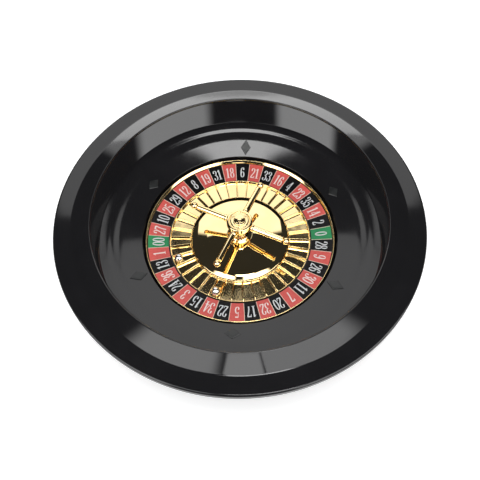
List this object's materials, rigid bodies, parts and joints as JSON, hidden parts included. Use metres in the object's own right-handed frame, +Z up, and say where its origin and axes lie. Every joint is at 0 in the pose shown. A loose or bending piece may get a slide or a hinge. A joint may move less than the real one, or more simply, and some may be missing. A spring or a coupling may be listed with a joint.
{
  "type": "roulette wheel",
  "caption": "Table-top roulette wheel: round bowl with a sloping apron, a numbered pocket rotor on a ball bearing, a spoked turret and loose balls.",
  "frame": {"origin": "centre of the base, on the surface that the feet stand on", "axes": "+Z up along the spindle; +Y away from the front; the pocket of number 6 lies 3.26 degrees clockwise from +Y"},
  "size_m": [0.4064, 0.4064, 0.0799],
  "materials": {
    "bowl_plastic": "glossy black moulded plastic",
    "cover_plastic": "fine-textured black moulded plastic",
    "foot_rubber": "soft black rubber",
    "bright_steel": "zinc-plated steel fasteners, spindle and bearing",
    "rotor_plastic": "black moulded plastic",
    "gold_plate": "mirror-polished gold plating",
    "number_print": "printed red, black and green segments with white numbers",
    "ball_steel": "polished steel"
  },
  "bodies": {
    "bowl": {"bowl_shell": "bowl_plastic", "base_plate": "cover_plastic", "base_screw_1": "bright_steel", "base_screw_2": "bright_steel", "base_screw_3": "bright_steel", "base_screw_4": "bright_steel", "foot_1": "foot_rubber", "foot_2": "foot_rubber", "foot_3": "foot_rubber", "foot_4": "foot_rubber", "spindle": "bright_steel", "spindle_washer": "bright_steel", "spindle_nut": "bright_steel", "spindle_clip": "bright_steel", "bearing_inner_race": "bright_steel"},
    "bearing_cage": {"bearing_cage": "bright_steel", "bearing_ball_1": "bright_steel", "bearing_ball_2": "bright_steel", "bearing_ball_3": "bright_steel", "bearing_ball_4": "bright_steel", "bearing_ball_5": "bright_steel", "bearing_ball_6": "bright_steel", "bearing_ball_7": "bright_steel"},
    "rotor": {"rotor_disc": "rotor_plastic", "bearing_outer_race": "bright_steel", "pocket_ring": "gold_plate", "number_ring": "number_print", "trim_ring": "gold_plate", "rotor_cone": "gold_plate", "cone_screw_1": "bright_steel", "cone_screw_2": "bright_steel", "cone_screw_3": "bright_steel", "cone_screw_4": "bright_steel", "tie_rod": "bright_steel", "turret_base": "gold_plate", "turret_column": "gold_plate", "turret_hub": "gold_plate", "turret_cap": "gold_plate", "turret_arm_1": "gold_plate", "turret_arm_2": "gold_plate", "turret_arm_3": "gold_plate", "turret_arm_4": "gold_plate", "arm_ball_1": "gold_plate", "arm_ball_2": "gold_plate", "arm_ball_3": "gold_plate", "arm_ball_4": "gold_plate"},
    "ball_1": {"ball_1": "ball_steel"},
    "ball_2": {"ball_2": "ball_steel"}
  },
  "joints": [
    {"name": "rotor_spin", "type": "hinge", "parent": "bowl", "child": "rotor", "pos_m": [0, 0, 0.0221], "axis": [0, 0, 1], "continuous": true},
    {"name": "bearing_cage_spin", "type": "hinge", "parent": "bowl", "child": "bearing_cage", "pos_m": [0, 0, 0.0221], "axis": [0, 0, 1], "continuous": true},
    {"name": "ball_1_lift", "type": "slide", "parent": "rotor", "child": "ball_1", "axis": [0, 0, 1], "range_m": [0, 0.07]},
    {"name": "ball_2_lift", "type": "slide", "parent": "rotor", "child": "ball_2", "axis": [0, 0, 1], "range_m": [0, 0.07]}
  ],
  "couplings": [
    {"joint": "bearing_cage_spin", "follows": "rotor_spin", "ratio": 0.6167}
  ]
}
